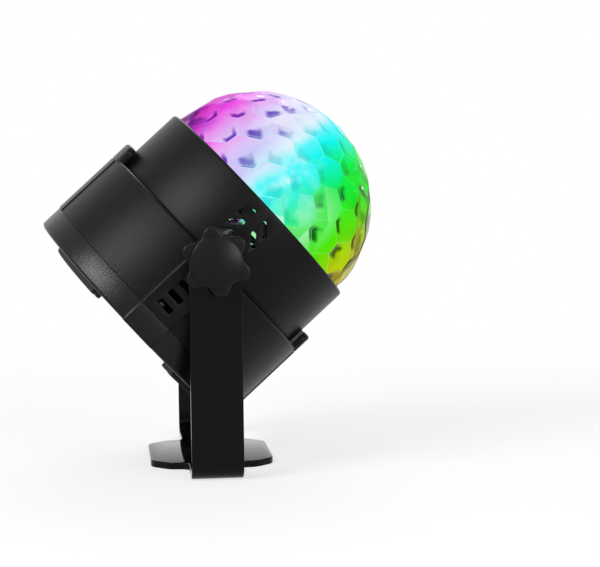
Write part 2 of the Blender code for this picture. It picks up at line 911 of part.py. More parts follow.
def inlet_place():
    """Where the power inlet lies, with +Z out through the rear cover's wall."""
    turn = Matrix.Rotation(inlet_angle - math.pi, 4, "Z")
    return at(0, 0, -inlet_reach) @ turn @ facing(far_side)


def make_power_inlet(head, material):
    """The power inlet under the control board, its nose in the rear cover's wall."""
    body_front = inlet_front - inlet_nose_length
    outline = [
        (-inlet_half_width, -inlet_half_height),
        (inlet_half_width, -inlet_half_height),
        (inlet_half_width, inlet_half_height),
        (-inlet_half_width, inlet_half_height),
    ]
    block = prism(outline, body_front - inlet_length, body_front)
    inlet = solid("power_inlet", moved(block, inlet_place()), material, head)
    nose = rod(inlet_nose_radius, body_front - inlet_nose_length / 2, inlet_front)
    join(inlet, "inlet_nose", moved(nose, inlet_place()))
    bottom = inlet_front - inlet_bore_depth
    profile = [
        (inlet_pin_radius, bottom),
        (inlet_bore_radius, bottom),
        (inlet_bore_radius, inlet_front + cut_over),
        (inlet_pin_radius, inlet_front + cut_over),
    ]
    cut(inlet, "inlet_bore", moved(turned(profile, small_steps), inlet_place()))


def make_housing_screws(head, material):
    for index, angle in enumerate(spread(post_count, math.pi / post_count)):
        seat = cover_bottom + housing_screw_sink + housing_screw_head_height
        length = housing_screw_length - housing_screw_sink - housing_screw_head_height
        shape = screw_shape(
            housing_screw_radius, housing_screw_head_radius, housing_screw_head_height, length
        )
        flipped = at(*ring_point(post_ring_radius, angle), seat) @ Matrix.Rotation(math.pi, 4, "X")
        solid(f"housing_screw_{index + 1}", moved(shape, flipped), material, head)


def make_pivot_inserts(head, material):
    """A brass thread insert in each pivot boss, for the thumb screw."""
    for name, side in (("near_insert", near_side), ("far_insert", far_side)):
        bore = stud_thread_radius + mesh_gap
        front = pad_face - mesh_gap
        profile = [
            (bore, front - insert_length),
            (insert_radius, front - insert_length),
            (insert_radius, front),
            (bore, front),
        ]
        solid(name, moved(turned(profile, small_steps), facing(side)), material, head)


def make_bracket(material):
    """The one-piece bracket: a flat blank with round ends and a wide middle, bent up at both sides."""
    bend_y = arm_outer - bend_radius
    bend_length = bend_radius * math.pi / 2
    tip_y = bend_y + bend_length + pivot_height - bend_radius
    blank = prism(blank_outline(tip_y), 0.0, bracket_thickness)
    for side in (near_side, far_side):
        for step in range(bend_steps + 1):
            bmesh.ops.bisect_plane(
                blank,
                geom=blank.verts[:] + blank.edges[:] + blank.faces[:],
                dist=weld_distance,
                plane_co=(0, side * (bend_y + bend_length * step / bend_steps), 0),
                plane_no=(0, 1, 0),
            )
    for vert in blank.verts:
        vert.co = bent(vert.co, bend_y, bend_length)
    bracket = solid("bracket", blank, material)
    bores = []
    for side in (near_side, far_side):
        bore = rod(stud_thread_radius + mesh_gap, arm_inner - cut_over, arm_outer + cut_over)
        bores.append(moved(moved(bore, facing(side)), at(0, 0, pivot_height)))
    cut(bracket, "bracket_bores", gathered(bores))


def bent(point, bend_y, bend_length):
    """Where a point of the flat blank goes when the arms are bent up."""
    past = abs(point.y) - bend_y
    if past <= 0:
        return point
    side = math.copysign(1, point.y)
    inset = bend_radius - point.z
    if past >= bend_length:
        return Vector((point.x, side * (bend_y + inset), bend_radius + past - bend_length))
    angle = past / bend_radius
    return Vector((point.x, side * (bend_y + inset * math.sin(angle)), bend_radius - inset * math.cos(angle)))


def blank_outline(tip_y):
    """Half of the bracket's flat outline, from the middle to the tip, turned into the whole by symmetry."""
    half_width = strip_width / 2
    slant = (-math.sqrt(0.5), math.sqrt(0.5))
    corner_low = (plate_half_width, plate_half_depth - plate_chamfer)
    corner_high = (plate_half_width - plate_chamfer, plate_half_depth)
    quarter = [
        *rounded_corner(corner_low, (0.0, 1.0), slant, plate_corner),
        *rounded_corner(corner_high, slant, (-1.0, 0.0), plate_corner),
        *arc(
            half_width + plate_fillet,
            plate_half_depth + plate_fillet,
            plate_fillet,
            -math.pi / 2,
            -math.pi,
            round_steps,
        ),
    ]
    tip = arc(0, tip_y, half_width, 0, math.pi, small_steps)
    upper = quarter + tip + [(-x, y) for x, y in reversed(quarter)]
    return upper + [(-x, -y) for x, y in upper]


def rounded_corner(corner, incoming, outgoing, radius):
    """An arc that rounds the corner where one straight side turns into another."""
    turn = math.acos(max(-1.0, min(1.0, incoming[0] * outgoing[0] + incoming[1] * outgoing[1])))
    setback = radius * math.tan(turn / 2)
    start = (corner[0] - incoming[0] * setback, corner[1] - incoming[1] * setback)
    centre = (start[0] - incoming[1] * radius, start[1] + incoming[0] * radius)
    first = math.atan2(start[1] - centre[1], start[0] - centre[0])
    return arc(*centre, radius, first, first + turn, round_steps)


def knob_outline(shrink):
    """The six-lobed grip outline, drawn in by a distance."""
    mean = (knob_lobe_radius + knob_valley_radius) / 2
    swing = (knob_lobe_radius - knob_valley_radius) / 2
    points = []
    for step in range(knob_outline_steps):
        angle = math.tau * step / knob_outline_steps
        wave = math.cos(knob_lobes * (angle - knob_phase))
        fuller = math.sin(math.pi / 2 * wave)
        wave += knob_fullness_share * (fuller - wave)
        radius = mean + swing * wave - shrink
        points.append((radius * math.cos(angle), radius * math.sin(angle)))
    return points


def knob_shape():
    """The grip: lobed outline with softened front and back edges."""
    shape = bmesh.new()
    top = knob_base + knob_grip_height
    levels = [
        (knob_base, knob_grip_edge / 2),
        (knob_base + knob_grip_edge / 2, 0.0),
        (top - knob_grip_edge, 0.0),
        (top - knob_grip_edge / 3, knob_grip_edge / 3),
        (top, knob_grip_edge),
    ]
    rings = [[shape.verts.new((x, y, z)) for x, y in knob_outline(shrink)] for z, shrink in levels]
    for ring, following in zip(rings, rings[1:]):
        corners = list(zip(ring, following))
        for low, high in zip(corners, corners[1:] + corners[:1]):
            shape.faces.new((low[0], high[0], high[1], low[1]))
    shape.faces.new(rings[0])
    shape.faces.new(rings[-1])
    return shape


def make_knob(side, prefix, materials):
    """A thumb knob: lobed grip, pressed-in domed cap and the hex-head screw held inside."""
    turn = (-side * math.pi / 2, 0, 0)
    axis = empty(prefix + "_knob_axis", location=(0, 0, pivot_height), rotation=turn)
    grip = solid(prefix + "_knob", knob_shape(), materials["knob"], axis)
    top = knob_base + knob_grip_height
    seat = top - knob_cap_height / 2
    hex_top = seat - mesh_gap
    hex_bottom = hex_top - hex_height
    stud_bottom = pad_face - insert_length + mesh_gap
    hollow = [
        rod(stud_thread_radius + mesh_gap, knob_base - cut_over, top),
        rod(hex_radius + mesh_gap, hex_bottom - mesh_gap, top + cut_over, knob_lobes),
        rod(knob_pocket_radius + mesh_gap, seat, top + cut_over),
    ]
    for number, shape in enumerate(hollow):
        cut(grip, f"{prefix}_knob_hollow_{number + 1}", shape)
    crown = top + mesh_gap + knob_cap_rise
    rim_top = crown - knob_cap_rise + knob_cap_height / 3
    curve = (knob_cap_radius**2 + knob_cap_rise**2) / (2 * knob_cap_rise)
    opening = math.asin((knob_cap_radius - knob_cap_rise / 2) / curve)
    peak = rim_top + knob_cap_rise
    dome = arc(0, peak - curve, curve, math.pi / 2 - opening, math.pi / 2, round_steps)
    dome[-1] = (0.0, peak)
    profile = [
        (0.0, seat + mesh_gap),
        (knob_pocket_radius, seat + mesh_gap),
        (knob_pocket_radius, top + mesh_gap),
        (knob_cap_radius - knob_cap_rise / 3, top + mesh_gap),
        (knob_cap_radius, top + mesh_gap + knob_cap_rise / 3),
        (knob_cap_radius, dome[0][1] - knob_cap_rise / 3),
        *dome,
    ]
    solid(prefix + "_knob_cap", turned(profile, 2 * small_steps, closed=False), materials["cap"], axis)
    screw = rod(hex_radius, hex_bottom, hex_top, knob_lobes)
    screw = solid(prefix + "_knob_screw", screw, materials["steel"], axis)
    shank = rod(stud_thread_radius, stud_bottom, hex_bottom + hex_height / 2)
    join(screw, prefix + "_shank", shank)


def build():
    clear_scene()
    black = finish("black_plastic", (0.016, 0.016, 0.017), 0.42)
    knob_black = finish("knob_plastic", (0.012, 0.012, 0.013), 0.3)
    bracket_black = finish("bracket_plastic", (0.014, 0.014, 0.015), 0.38)
    rubber = finish("foot_rubber", (0.02, 0.02, 0.02), 0.8)
    clear = finish("clear_plastic", (0.92, 0.95, 0.98), 0.05, alpha=0.35)
    steel = finish("steel", (0.6, 0.6, 0.62), 0.3, 1.0)
    brass = finish("brass", (0.78, 0.6, 0.3), 0.35, 1.0)
    aluminium = finish("aluminium", (0.75, 0.76, 0.78), 0.35, 1.0)
    white_board = finish("white_board", (0.8, 0.8, 0.78), 0.5)
    green_board = finish("green_board", (0.02, 0.2, 0.08), 0.5)
    inlet_black = finish("inlet_plastic", (0.015, 0.015, 0.016), 0.5)
    capacitor_blue = finish("capacitor_sleeve", (0.03, 0.05, 0.2), 0.4)
    chip_black = finish("chip_resin", (0.02, 0.02, 0.02), 0.6)
    led_materials = {
        "red": finish("red_led", (0.9, 0.08, 0.05), 0.2),
        "green": finish("green_led", (0.05, 0.8, 0.15), 0.2),
        "blue": finish("blue_led", (0.05, 0.2, 0.95), 0.2),
    }
    make_bracket(bracket_black)
    for prefix, side in (("near", near_side), ("far", far_side)):
        make_knob(side, prefix, {"knob": knob_black, "cap": knob_black, "steel": steel})
    head = empty("head_pivot", location=(0, 0, pivot_height), rotation=(0, tilt_angle, 0))
    rotor = empty("rotor_axis", parent=head)
    make_front_housing(head, black)
    make_rear_housing(head, black)
    make_rear_cover(head, black)
    make_rear_feet(head, rubber)
    make_dome(head, clear)
    make_dome_ring(head, black)
    make_lens_rotor(rotor, clear, steel)
    make_motor(head, steel, steel)
    make_lamp_plate(head, aluminium, white_board, steel)
    make_leds(head, led_materials, clear)
    boards = {
        "board": green_board,
        "steel": steel,
        "capacitor": capacitor_blue,
        "chip": chip_black,
        "inlet": inlet_black,
    }
    make_control_board(head, boards)
    make_housing_screws(head, steel)
    make_pivot_inserts(head, brass)


build()
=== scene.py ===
import json
import math
import random

import bmesh
import bpy
from mathutils import Matrix, Vector


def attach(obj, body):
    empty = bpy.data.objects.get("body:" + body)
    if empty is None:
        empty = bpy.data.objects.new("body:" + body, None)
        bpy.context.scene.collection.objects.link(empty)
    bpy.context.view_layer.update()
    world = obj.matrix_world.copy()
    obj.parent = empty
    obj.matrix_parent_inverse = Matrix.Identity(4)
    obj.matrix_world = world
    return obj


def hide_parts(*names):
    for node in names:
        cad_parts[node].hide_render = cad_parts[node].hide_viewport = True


mm = 0.001
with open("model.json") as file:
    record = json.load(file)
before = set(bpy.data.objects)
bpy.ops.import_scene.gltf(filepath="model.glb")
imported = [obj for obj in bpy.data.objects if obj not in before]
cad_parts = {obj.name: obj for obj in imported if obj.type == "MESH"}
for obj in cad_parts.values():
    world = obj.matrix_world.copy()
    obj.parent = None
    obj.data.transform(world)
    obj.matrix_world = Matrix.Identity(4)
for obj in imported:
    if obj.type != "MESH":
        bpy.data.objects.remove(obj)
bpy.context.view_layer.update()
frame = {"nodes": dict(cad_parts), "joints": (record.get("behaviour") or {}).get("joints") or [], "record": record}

joints = {joint["name"]: joint for joint in frame["joints"]}
pivot = Vector(joints["head_tilt"]["pos_m"])
headLean = Vector(joints["rotor_spin"]["axis"])
headPlace = Matrix.Translation(pivot) @ Matrix.Rotation(math.atan2(headLean.x, headLean.z), 4, "Y")
print("frame loaded, head leans", round(math.degrees(math.atan2(headLean.x, headLean.z)), 1))


# materials
class Field:
    # a socket that can be used in a Python expression
    def __init__(self, finish, socket):
        self.finish = finish
        self.socket = socket

    def __add__(self, other):
        return self.finish.maths("ADD", self, other)

    def __sub__(self, other):
        return self.finish.maths("SUBTRACT", self, other)

    def __rsub__(self, other):
        return self.finish.maths("SUBTRACT", other, self)

    def __mul__(self, other):
        return self.finish.maths("MULTIPLY", self, other)

    def __truediv__(self, other):
        return self.finish.maths("DIVIDE", self, other)

    def __pow__(self, other):
        return self.finish.maths("POWER", self, other)

    __radd__ = __add__
    __rmul__ = __mul__


class Finish:
    # a material with the few helpers that every surface here uses
    def __init__(self, name, **constants):
        self.material = bpy.data.materials.new(name)
        self.material.use_nodes = True
        self.tree = self.material.node_tree
        self.shader = self.tree.nodes["Principled BSDF"]
        self.set(**constants)
        self.place = None

    def set(self, **values):
        for name, value in values.items():
            self.feed(self.shader.inputs[name.replace("_", " ")], value)
        return self

    def feed(self, socket, value):
        if isinstance(value, Field):
            self.tree.links.new(value.socket, socket)
        elif socket.type == "RGBA" and len(value) == 3:
            socket.default_value = (*value, 1)
        else:
            socket.default_value = value

    def node(self, kind, settings=None, output=0, **inputs):
        made = self.tree.nodes.new(kind)
        for name, value in (settings or {}).items():
            if name == "stops":
                ramp = made.color_ramp.elements
                while len(ramp) < len(value):
                    ramp.new(0.5)
                for element, (spot, colour) in zip(ramp, value):
                    element.position = spot
                    element.color = (*colour, 1)
            else:
                setattr(made, name, value)
        for name, value in inputs.items():
            index = int(name[1:]) if name[1:].isdigit() else name.replace("_", " ")
            self.feed(made.inputs[index], value)
        return Field(self, made.outputs[output])

    def maths(self, operation, *values):
        named = {f"i{index}": value for index, value in enumerate(values)}
        return self.node("ShaderNodeMath", {"operation": operation}, **named)

    def clamp(self, value):
        return self.node("ShaderNodeClamp", Value=value)

    def spread(self, value, low, high, backwards=False):
        # 0 below low, 1 above high, smooth between
        settings = {"interpolation_type": "SMOOTHSTEP"}
        ends = {"To_Min": 1.0, "To_Max": 0.0} if backwards else {}
        return self.node("ShaderNodeMapRange", settings, Value=value, From_Min=low, From_Max=high, **ends)

    def where(self):
        if not self.place:
            self.place = self.node("ShaderNodeTexCoord", output="Object")
        return self.place

    def noise(self, scale, detail=2.0, roughness=0.5, spot=None):
        spot = spot or self.where()
        return self.node("ShaderNodeTexNoise", Vector=spot, Scale=scale, Detail=detail, Roughness=roughness)

    def mix(self, share, low, high, blend="MIX"):
        settings = {"data_type": "RGBA", "blend_type": blend}
        return self.node("ShaderNodeMix", settings, output=2, i0=share, i6=low, i7=high)

    def channels(self, colour):
        split = self.node("ShaderNodeSeparateColor", Color=colour).socket.node
        return [Field(self, output) for output in split.outputs]

    def dot(self, spot, direction):
        settings = {"operation": "DOT_PRODUCT"}
        return self.node("ShaderNodeVectorMath", settings, output="Value", i0=spot, i1=direction)

    def bump(self, height, distance, strength=1.0):
        lifted = self.node("ShaderNodeBump", Height=height, Distance=distance, Strength=strength)
        return self.set(Normal=lifted)


mouldedGrain = {"grainScale": 2500, "cloudScale": 60, "depth": 0.1, "base": 0.0022, "rough": 0.32, "shine": 0.11}


def mouldedBlack(name, settings):
    # satin black plastic: fine spark-eroded grain, faint clouding and handling marks
    finish = Finish(name, Specular_IOR_Level=settings["shine"])
    grain = finish.noise(settings["grainScale"], 3.0, 0.6)
    cloud = finish.noise(settings["cloudScale"], 4.0, 0.55)
    dust = finish.spread(finish.noise(settings["cloudScale"] * 9, 5.0, 0.7), 0.58, 0.8)
    tone = settings["base"] * (0.85 + 0.3 * cloud) + dust * 0.0015
    shade = finish.node("ShaderNodeCombineColor", Red=tone, Green=tone, Blue=tone * 1.04)
    finish.set(Base_Color=shade, Roughness=settings["rough"] + 0.1 * (cloud - 0.5) + 0.12 * (grain - 0.5) + dust * 0.06)
    return finish.bump(grain, settings["depth"] * mm)


housingBlack = mouldedBlack("housing_black", mouldedGrain)
coverBlack = mouldedBlack("cover_black", {**mouldedGrain, "depth": 0.06, "rough": 0.29, "shine": 0.19})
knobBlack = mouldedBlack("knob_black", {**mouldedGrain, "grainScale": 1800, "depth": 0.02, "rough": 0.34, "shine": 0.14})
gloss = {"grainScale": 3400, "depth": 0.002, "base": 0.0016, "rough": 0.07, "shine": 0.1}
bracketBlack = mouldedBlack("bracket_black", {**mouldedGrain, **gloss})
print("black plastics ready")


def rubberFinish():
    finish = Finish("foot_rubber", Specular_IOR_Level=0.35)
    pores = finish.noise(1800, 4.0, 0.65)
    film = finish.noise(90, 3.0)
    tone = 0.012 + film * 0.012
    shade = finish.node("ShaderNodeCombineColor", Red=tone, Green=tone, Blue=tone)
    finish.set(Base_Color=shade, Roughness=0.74 + film * 0.14)
    return finish.bump(pores, 0.05 * mm)


def turnedMetal(name, colour, roughness, scale=2400):
    # plated or turned metal: fine tool marks and slight staining
    finish = Finish(name, Metallic=1.0)
    marks = finish.noise(scale, 3.0, 0.7)
    stain = finish.noise(140, 4.0)
    dark = tuple(channel * 0.72 for channel in colour)
    finish.set(Base_Color=finish.mix(finish.spread(stain, 0.35, 0.75), colour, dark))
    finish.set(Roughness=roughness + 0.16 * (marks - 0.5) + 0.12 * (stain - 0.5))
    return finish.bump(marks, 0.006 * mm)


def boardFinish(name, colour, copper):
    # solder mask over copper tracks
    finish = Finish(name, Coat_Weight=0.25, Coat_Roughness=0.2)
    cells = finish.node("ShaderNodeTexVoronoi", {"feature": "DISTANCE_TO_EDGE"}, Vector=finish.where(), Scale=260.0)
    tracks = 1 - finish.spread(cells, 0.05, 0.12)
    weave = finish.noise(1500, 2.0)
    finish.set(Base_Color=finish.mix(tracks * 0.5, colour, copper), Roughness=0.42 + 0.1 * (weave - 0.5))
    return finish.bump(tracks * 0.6 + weave * 0.4, 0.02 * mm)


def plainMoulding(name, colour, roughness, scale=1200):
    finish = Finish(name)
    grain = finish.noise(scale, 3.0, 0.6)
    cloud = finish.noise(120, 3.0)
    dark = tuple(channel * 0.75 for channel in colour)
    finish.set(Base_Color=finish.mix(cloud, colour, dark), Roughness=roughness + 0.15 * (grain - 0.5))
    return finish.bump(grain, 0.01 * mm)


rubber = rubberFinish()
plainSteel = turnedMetal("plated_steel", (0.62, 0.62, 0.64), 0.28)
knurledBrass = turnedMetal("turned_brass", (0.76, 0.56, 0.26), 0.32)
sheetAluminium = turnedMetal("sheet_aluminium", (0.74, 0.75, 0.77), 0.38, 1600)
whiteBoard = boardFinish("white_board", (0.78, 0.78, 0.76), (0.66, 0.66, 0.63))
greenBoard = boardFinish("green_board", (0.012, 0.13, 0.05), (0.05, 0.26, 0.1))
inletBlack = plainMoulding("inlet_black", (0.018, 0.018, 0.019), 0.5)
sleeveBlue = plainMoulding("capacitor_sleeve", (0.02, 0.04, 0.16), 0.35)
chipBlack = plainMoulding("chip_resin", (0.02, 0.02, 0.021), 0.62)


# the light in the dome
rainbow = {
    # across the dome, from its upper left side to its lower right
    "stops": (
        (0.0, (0.7, 0.0, 0.5)),
        (0.08, (0.9, 0.08, 0.84)),
        (0.15, (0.88, 0.32, 0.88)),
        (0.23, (0.74, 0.55, 0.95)),
        (0.3, (0.6, 0.58, 0.95)),
        (0.37, (0.6, 0.84, 0.98)),
        (0.43, (0.1, 0.93, 0.96)),
        (0.5, (0.005, 0.93, 0.88)),
        (0.57, (0.005, 0.88, 0.42)),
        (0.64, (0.002, 0.84, 0.07)),
        (0.74, (0.02, 0.84, 0.005)),
        (0.83, (0.14, 0.74, 0.002)),
        (0.91, (0.58, 0.66, 0.002)),
        (0.97, (0.6, 0.45, 0.05)),
        (1.0, (0.45, 0.1, 0.4)),
    ),
    # painted shade: the same sweep darkened, where a lens would show the dark inside of the head
    "paintedShadeStops": (
        (0.0, (0.1, 0.0, 0.12)),
        (0.12, (0.22, 0.0, 0.42)),
        (0.25, (0.14, 0.02, 0.5)),
        (0.35, (0.2, 0.24, 0.6)),
        (0.45, (0.02, 0.35, 0.45)),
        (0.6, (0.0, 0.22, 0.08)),
        (0.75, (0.0, 0.12, 0.0)),
        (0.9, (0.06, 0.07, 0.0)),
        (1.0, (0.1, 0.06, 0.0)),
    ),
    "reach": 39.5,
    "centre": 23.5,
    "crescent": 3.8,
    "white": (0.93, 0.98, 1.0),
}


def rainbowFinish(name, strength):
    # every lens has its own tint, a thin outline, painted white on some lenses and dark on others, and on the flanks a
    # dark crescent of painted shade along one side
    finish = Finish(name, Roughness=0.5, Base_Color=(0, 0, 0), Specular_IOR_Level=0.0)
    spread = finish.spread
    head = headPlace.to_3x3() @ Vector((1, 0, 0))
    middle = headPlace @ Vector((0, 0, rainbow["centre"] * mm))
    paint = finish.node("ShaderNodeVertexColor", {"layer_name": "lens"})
    inset, lean, chance = finish.channels(paint)
    cross = Field(finish, paint.socket.node.outputs["Alpha"])
    across = (finish.dot(finish.where(), head) - middle.dot(head)) / mm
    above = (finish.dot(finish.where(), headLean) - middle.dot(headLean)) / mm
    depth = finish.maths("ABSOLUTE", finish.dot(finish.where(), Vector((0, 1, 0)))) / mm
    other = finish.maths("FRACT", chance * 7.3)
    third = finish.maths("FRACT", chance * 17.9)
    # the sweep of hues
    sweep = across / (2 * rainbow["reach"]) + 0.5 + 0.05 * (finish.noise(45, 2.0) - 0.5)
    sweep = sweep + 0.05 * (chance - 0.5) + 0.06 * (lean - 0.5)
    colour = finish.node("ShaderNodeValToRGB", {"stops": rainbow["stops"]}, Fac=sweep)
    # painted shade colour, mixed in below over the flanks, in the crescents and on some outlines
    paintedShadeColour = finish.node("ShaderNodeValToRGB", {"stops": rainbow["paintedShadeStops"]}, Fac=sweep)
    flank = spread(finish.maths("ABSOLUTE", across), 5, 20)
    rightward = spread(across, 4, 30)
    # pale clouds over the lamp
    cloud = spread(finish.noise(62, 3.0, 0.55), 0.44, 0.66)
    patch = spread(lean + 0.2 * (finish.noise(150, 1.0) - 0.5), 0.5, 0.55)
    mint = spread(across, -4, 3) * spread(across, 11, 23, backwards=True) * (1 - 0.7 * patch)
    mint = mint * spread(above, 8, 24, backwards=True) * (0.15 + 0.3 * spread(chance, 0.3, 0.5))
    snow = spread(across, -24, -18) * spread(across, -10, -5, backwards=True) * spread(above, 10, 24)
    heart = spread(finish.maths("ABSOLUTE", across - 1), 3, 13, backwards=True)
    heart = heart * spread(above, 12, 26, backwards=True)
    pale = 0.85 * heart * cloud + mint + 0.55 * snow * (1 - 0.5 * patch)
    colour = finish.mix(finish.clamp(pale), colour, rainbow["white"])
    # painted shade for the dark inside of the head as seen through the lenses, soft over the flanks and sharp beside
    # each lens's edge
    # painted shade: darker towards the plane midway between the near and far sides
    belt = spread(depth, 8, 30, backwards=True)
    shadeStreak = flank * spread(finish.noise(150, 2.0, 0.5) + 0.25 * (lean - 0.5), 0.38, 0.56)
    # painted shade along the upper left edge of the dome
    brimShade = spread(across, -37, -29, backwards=True) * spread(finish.noise(140, 2.0), 0.42, 0.52)
    brimShade = brimShade * spread(above, 5, 13, backwards=True)
    leftward = spread(across, -32, -14, backwards=True)
    flankShade = (0.06 + 0.75 * rightward * belt + 0.2 * leftward * belt) * shadeStreak + 0.2 * rightward * belt
    colour = finish.mix(finish.clamp(flankShade + 0.8 * brimShade), colour, paintedShadeColour)
    # painted shade: a dark crescent beside one edge of each lens, darkest on the flanks
    inward = inset * 5
    reach = rainbow["crescent"] * (0.6 + 0.7 * other)
    warp = 0.12 * (finish.noise(300, 2.0) - 0.5)
    hug = spread(lean + warp, 0.54, 0.66)
    span = spread(finish.maths("ABSOLUTE", cross - 0.5 - 0.3 * (third - 0.5)), 0.12, 0.26, backwards=True)
    hold = hug * span * spread(inward, 0.25, 0.45)
    shade = hold * spread(inward / reach + 2 * warp, 0.55, 1.05, backwards=True)
    dark = spread(flank + 0.5 * (third - 0.5), 0.2, 0.8)
    colour = finish.mix(shade * (0.25 + 0.72 * dark), colour, paintedShadeColour)
    # painted highlight: a thin white line inside the crescents of some lenses
    paintedGlint = hold * spread(inward, 0.9, 1.0) * spread(inward, 1.05, 1.2, backwards=True) * spread(other, 0.45, 0.55)
    colour = finish.mix(paintedGlint * dark * 0.45, colour, rainbow["white"])
    # painted highlight and painted shade: thin lines along the lens outlines, white on some lenses and dark on others,
    # that come and go
    outline = spread(inset, 0.0, 0.04, backwards=True) * (0.35 + 0.65 * cloud)
    paintedOutlineTone = finish.mix(spread(chance, 0.45, 0.55), paintedShadeColour, rainbow["white"])
    colour = finish.mix(outline * (0.4 - 0.15 * flank), colour, paintedOutlineTone)
    finish.set(Emission_Color=colour, Emission_Strength=strength)
    return finish


glowFinish = rainbowFinish("dome_light", 1.0)
innerGlowFinish = rainbowFinish("dome_inner_light", 0.03)


def clearFinish():
    finish = Finish("dome_clear", Base_Color=(1, 1, 1), Transmission_Weight=1.0, IOR=1.06, Roughness=0.0)
    return finish.bump(finish.noise(240, 2.0), 0.01 * mm)


domeClear = clearFinish()
print("dome light ready")


# building helpers
def arcPoints(middle, radius, start, end, steps):
    turn = (end - start) / steps
    angles = [math.radians(start + turn * step) for step in range(steps + 1)]
    return [(middle[0] + radius * math.cos(a), middle[1] + radius * math.sin(a)) for a in angles]


def softened(corners, steps=5, spacing=3.0):
    # closed outline of (x, y, rounding) corners: each corner rounded, long runs divided
    outline = []
    for index, (x, y, radius) in enumerate(corners):
        here = Vector((x, y))
        into = (here - Vector(corners[index - 1][:2])).normalized()
        away = (Vector(corners[(index + 1) % len(corners)][:2]) - here).normalized()
        if radius <= 0:
            outline.append(here)
            continue
        turn = into.angle(away)
        setback = radius * math.tan(turn / 2)
        side = math.copysign(1, into.x * away.y - into.y * away.x)
        middle = here - into * setback + Vector((-into.y, into.x)) * side * radius
        spoke = here - into * setback - middle
        for step in range(steps + 1):
            outline.append(middle + Matrix.Rotation(side * turn * step / steps, 2) @ spoke)
    divided = []
    for here, following in zip(outline, outline[1:] + outline[:1]):
        pieces = max(1, round((following - here).length / spacing))
        divided += [here.lerp(following, piece / pieces) for piece in range(pieces)]
    return divided


def ringOf(outline, steps=192, closed=True):
    # revolves an outline of (radius, height) in millimetres about Z
    shape = bmesh.new()
    spots = [shape.verts.new((spot[0] * mm, 0, spot[1] * mm)) for spot in outline]
    edges = [shape.edges.new(pair) for pair in zip(spots, spots[1:])]
    if closed:
        edges.append(shape.edges.new((spots[-1], spots[0])))
    bmesh.ops.spin(
        shape, geom=spots + edges, cent=(0, 0, 0), axis=(0, 0, 1), angle=math.tau, steps=steps, use_merge=True
    )
    bmesh.ops.remove_doubles(shape, verts=shape.verts, dist=mm / 10000)
    bmesh.ops.recalc_face_normals(shape, faces=shape.faces)
    return shape


def slabOf(outline, low, high):
    # a flat outline in millimetres, raised from low to high
    shape = bmesh.new()
    face = shape.faces.new([shape.verts.new((spot[0] * mm, spot[1] * mm, low * mm)) for spot in outline])
    raised = bmesh.ops.extrude_face_region(shape, geom=[face])
    moved = [part for part in raised["geom"] if isinstance(part, bmesh.types.BMVert)]
    bmesh.ops.translate(shape, verts=moved, vec=(0, 0, (high - low) * mm))
    bmesh.ops.recalc_face_normals(shape, faces=shape.faces)
    return shape


def placed(shape, *matrices):
    for matrix in matrices:
        bmesh.ops.transform(shape, matrix=matrix, verts=shape.verts)
    return shape


def sideways(side):
    # outline X and Y become X and Z, and height points out of the near (-1) or far (1) side
    return Matrix(((1, 0, 0, 0), (0, 0, side, 0), (0, 1, 0, 0), (0, 0, 0, 1)))


def around(degrees):
    # turns +X round to an angle counted from the near side
    return Matrix.Rotation(math.radians(degrees - 90), 4, "Z")


def asObject(name, shape):
    mesh = bpy.data.meshes.new(name)
    shape.normal_update()
    bmesh.ops.recalc_face_normals(shape, faces=shape.faces)
    shape.to_mesh(mesh)
    shape.free()
    made = bpy.data.objects.new(name, mesh)
    bpy.context.scene.collection.objects.link(made)
    return made


def settle(piece):
    # applies the modifiers, so that the mesh is the shape
    graph = bpy.context.evaluated_depsgraph_get()
    shaped = bpy.data.meshes.new_from_object(piece.evaluated_get(graph))
    piece.modifiers.clear()
    piece.data = shaped
    return piece


def carve(piece, shapes, operation="DIFFERENCE"):
    for shape in shapes:
        bmesh.ops.triangulate(shape, faces=shape.faces)  # a bent face isn't flat
        tool = asObject("tool", shape)
        step = piece.modifiers.new("carve", "BOOLEAN")
        step.operation = operation
        step.solver = "EXACT"
        step.use_self = operation == "UNION"
        step.object = tool
        settle(piece)
        bpy.data.objects.remove(tool)
    tidy = bmesh.new()
    tidy.from_mesh(piece.data)
    bmesh.ops.remove_doubles(tidy, verts=tidy.verts, dist=mm / 500)
    bmesh.ops.dissolve_degenerate(tidy, edges=tidy.edges, dist=mm / 500)
    flat = math.radians(0.2)
    bmesh.ops.dissolve_limit(tidy, verts=tidy.verts, edges=tidy.edges, angle_limit=flat)
    tidy.to_mesh(piece.data)
    tidy.free()
    return piece


def softenEdges(piece, width, segments=2, angle=40):
    step = piece.modifiers.new("soft_edges", "BEVEL")
    step.width = width * mm
    step.segments = segments
    step.limit_method = "ANGLE"
    step.angle_limit = math.radians(angle)
    step.use_clamp_overlap = True
    return settle(piece)


def hand(piece, finish, body, nodes=(), smooth=34, place=None, inner=None):
    # gives a finished piece its place, material and body, and hides the CAD nodes that it stands for
    if place:
        piece.data.transform(place)
        if place.determinant() < 0:  # a mirroring place turns the faces inward
            piece.data.flip_normals()
    piece.data.shade_smooth()
    if smooth:
        piece.data.set_sharp_from_angle(angle=math.radians(smooth))
    piece.data.materials.clear()
    piece.data.materials.append(finish.material)
    if inner:
        piece.data.materials.append(inner.material)
    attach(piece, body)
    if nodes:
        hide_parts(*nodes)
    return piece


# front housing
frontSizes = {
    "radius": 41.5,
    "bore": 40.5,
    "mouth": 39.8,
    "rim": 24.2,
    "lip": 2.0,
    "foot": -5.6,
    "rimRounding": 0.9,
    "ventRows": (8.95, 13.6, 18.25),
    "ventOffset": 4.0,
    "ventLength": 5.6,
    "ventWidth": 1.6,
    "ventSlant": 45,
    "bossRoom": 5.2,
}


def capsule(length, width, steps=8):
    half = (length - width) / 2
    return arcPoints((half, 0), width / 2, -90, 90, steps) + arcPoints((-half, 0), width / 2, 90, 270, steps)


